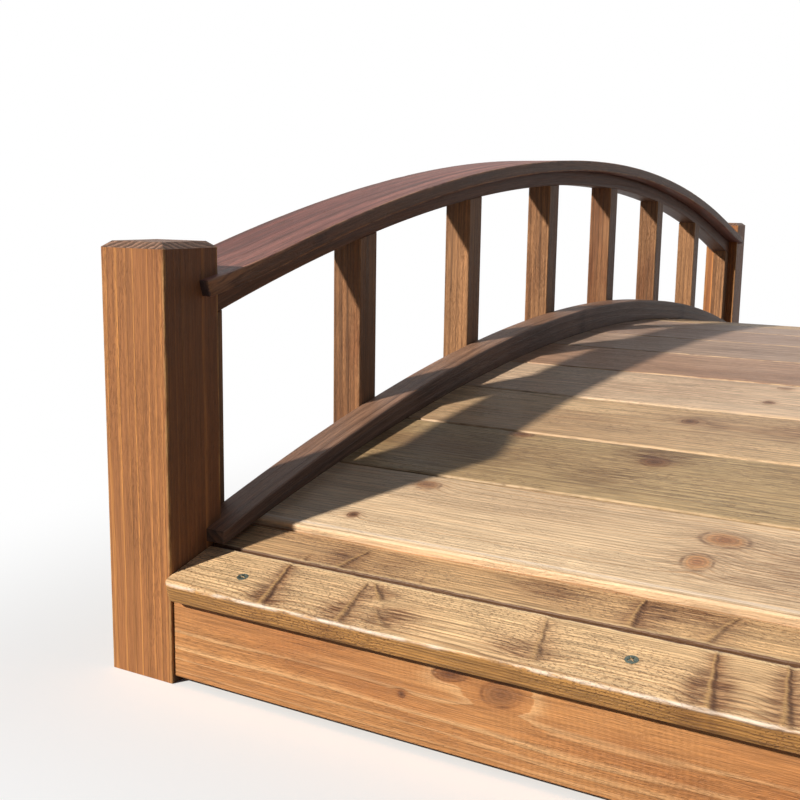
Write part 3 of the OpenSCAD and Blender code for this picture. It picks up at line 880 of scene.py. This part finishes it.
# Screws of a front board: along and across from its middle
SCREWS = ((0.4406, -0.0021), (0.0098, 0.0025), (-0.427, 0.001))
steel = screw_material()
for node in sorted(name for name in NODES if "board" in name):
    end = -1 if node.startswith("near") else 1
    if node in LOOKS:
        look = LOOKS[node]
    else:
        number = int(node[-2:]) if node[-2:].isdigit() else (14 if "second" in node else 15)
        drift = math.sin(number * 2.7)
        look = Timber(*OTHER_BOARDS[number % len(OTHER_BOARDS)], seed=40.0 + number, ring=0.0055,
                      pith=(0.1 * drift, -0.06), ring_amount=0.5, dashes=0.3,
                      knots=((0.3 * drift, 0.03 * math.cos(number), 0.018, 0.014, 0, 0.8, 0.5),))
    # Every board's upper edges are paler, from wear and as a painted highlight
    look.edge_amount = 0.75
    look.under = 0.0
    look.fine = 0.42
    look.rough = 0.48
    look.end_axis = (0.0, 1.0, 0.0)
    if node.startswith("deck_board"):
        look.half = (FULL_W / 2, BOARD_T / 2)
        at = (int(node[-2:]) - MIDDLE_BOARD) * FULL_PITCH
        plank(node, at, look, BOARD_T, FULL_W, BAL_Y, (PLANK_EASE, PLANK_EASE), PLANK_STEP)
    elif "second" in node:
        width = SECOND_PITCH - BOARD_GAP
        look.half = (width / 2, END_BOARD_T / 2)
        eases = (SECOND_EASE, SECOND_EASE)
        plank(node, end * SECOND_AT, look, END_BOARD_T, width, INNER_Y, eases, END_STEP)
    else:
        thickness = END_BOARD_T + SINK
        look.half = (NOSING_W / 2, thickness / 2)
        eases = (FRONT_EASE, SECOND_EASE) if end < 0 else (SECOND_EASE, FRONT_EASE)
        plank(node, end * NOSING_AT, look, thickness, NOSING_W, INNER_Y, eases, END_STEP,
              NOSING_CORNER, SCREWS, SINK)
        for index, (along, over) in enumerate(SCREWS):
            screw(f"{node}_screw_{index + 1}", end * NOSING_AT, along, over, END_BOARD_T, steel)

# Floor that keeps the shadow close by and fades to white, from and to a distance, away from the bridge
FLOOR, FADE = 30, (0.02, 0.6)
CORNERS = [(-FLOOR, -FLOOR, 0), (FLOOR, -FLOOR, 0), (FLOOR, FLOOR, 0), (-FLOOR, FLOOR, 0)]
floor_mesh = bpy.data.meshes.new("floor")
floor_mesh.from_pydata(CORNERS, [], [(0, 1, 2, 3)])
floor = bpy.data.objects.new("floor", floor_mesh)
floor.location.z = -0.0003
bpy.context.scene.collection.objects.link(floor)
g = Graph("floor")
spot = g.split(g.add("TexCoord", {}).outputs["Object"])
beyond_x = g.math("MAXIMUM", g.math("ADD", g.math("ABSOLUTE", spot[0]), -END_X), 0.0)
beyond_y = g.math("MAXIMUM", g.math("ADD", g.math("ABSOLUTE", spot[1]), -WIDTH / 2), 0.0)
fade = g.step(g.vector("LENGTH", g.join(beyond_x, beyond_y, 0.0)), *FADE)
path = g.add("LightPath", {}).outputs
direct = g.math("MAXIMUM", path["Is Camera Ray"], path["Is Glossy Ray"])
direct = g.math("MAXIMUM", direct, path["Is Transmission Ray"])
seen = g.math("MULTIPLY", fade, direct)
ground = g.add("BsdfDiffuse", {"Color": g.mix(direct, (0.08, 0.08, 0.08, 1.0), (0.97, 0.98, 1.0, 1.0))})
white = g.add("Emission", {"Color": (1.0, 1.0, 1.0, 1.0), "Strength": 1.0})
blend = g.add("MixShader", {0: seen, 1: ground.outputs[0], 2: white.outputs[0]})
g.add("OutputMaterial", {0: blend.outputs[0]})
floor_mesh.materials.append(g.material)

# Soft light from all round, with a white background, and a warm key light
FILL, FILL_STRENGTH = (0.56, 0.72, 1.0, 1), 0.125
KEY_FROM = Vector((-0.742, 0.420, 0.522))
world = bpy.data.worlds.new("studio")
bpy.context.scene.world = world
world.use_nodes = True
tree = world.node_tree
tree.nodes.clear()
path = tree.nodes.new("ShaderNodeLightPath")
shown = path.outputs["Is Camera Ray"]
for kind in ("Is Glossy Ray", "Is Transmission Ray"):
    either = tree.nodes.new("ShaderNodeMath")
    either.operation = "MAXIMUM"
    tree.links.new(shown, either.inputs[0])
    tree.links.new(path.outputs[kind], either.inputs[1])
    shown = either.outputs[0]
back = tree.nodes.new("ShaderNodeBackground")
back.inputs["Color"].default_value = (1, 1, 1, 1)
back.inputs["Strength"].default_value = 1.0
fill = tree.nodes.new("ShaderNodeBackground")
fill.inputs["Color"].default_value = FILL
fill.inputs["Strength"].default_value = FILL_STRENGTH
mixer = tree.nodes.new("ShaderNodeMixShader")
world_out = tree.nodes.new("ShaderNodeOutputWorld")
tree.links.new(shown, mixer.inputs[0])
tree.links.new(fill.outputs[0], mixer.inputs[1])
tree.links.new(back.outputs[0], mixer.inputs[2])
tree.links.new(mixer.outputs[0], world_out.inputs[0])

key = bpy.data.lights.new("key", "SUN")
key.energy = 4.7
key.angle = math.radians(2.2)
key.color = (1.0, 0.96, 0.89)
key_lamp = bpy.data.objects.new("key", key)
key_lamp.rotation_euler = KEY_FROM.to_track_quat("Z", "Y").to_euler()
key_lamp.location = (-7.4, 4.2, 5.2)
bpy.context.scene.collection.objects.link(key_lamp)

# Camera at the viewing place of the photograph: position, turn, tilt down, roll, focal length in pixels
# of a picture of this width, and width of the sensor in millimetres
CAM_AT = Vector((-2.1726, -0.2773, 0.5301))
YAW, PITCH, ROLL = math.radians(29.83), math.radians(9.973), math.radians(0.838)
FOCAL_PIXELS, IMAGE_WIDTH = 1120.2, 800
SENSOR = 36.0
forward = Vector((math.cos(YAW) * math.cos(PITCH), math.sin(YAW) * math.cos(PITCH), -math.sin(PITCH)))
level = Vector((math.sin(YAW), -math.cos(YAW), 0.0))
rise = level.cross(forward)
right = math.cos(ROLL) * level + math.sin(ROLL) * rise
up = math.cos(ROLL) * rise - math.sin(ROLL) * level
camera_data = bpy.data.cameras.new("camera")
camera_data.sensor_width = SENSOR
camera_data.lens = SENSOR * FOCAL_PIXELS / IMAGE_WIDTH
camera_data.clip_end = 100.0
camera = bpy.data.objects.new("camera", camera_data)
camera.matrix_world = Matrix((right, up, -forward)).transposed().to_4x4()
camera.location = CAM_AT
bpy.context.scene.collection.objects.link(camera)
bpy.context.scene.camera = camera
bpy.context.scene.view_settings.view_transform = "Standard"
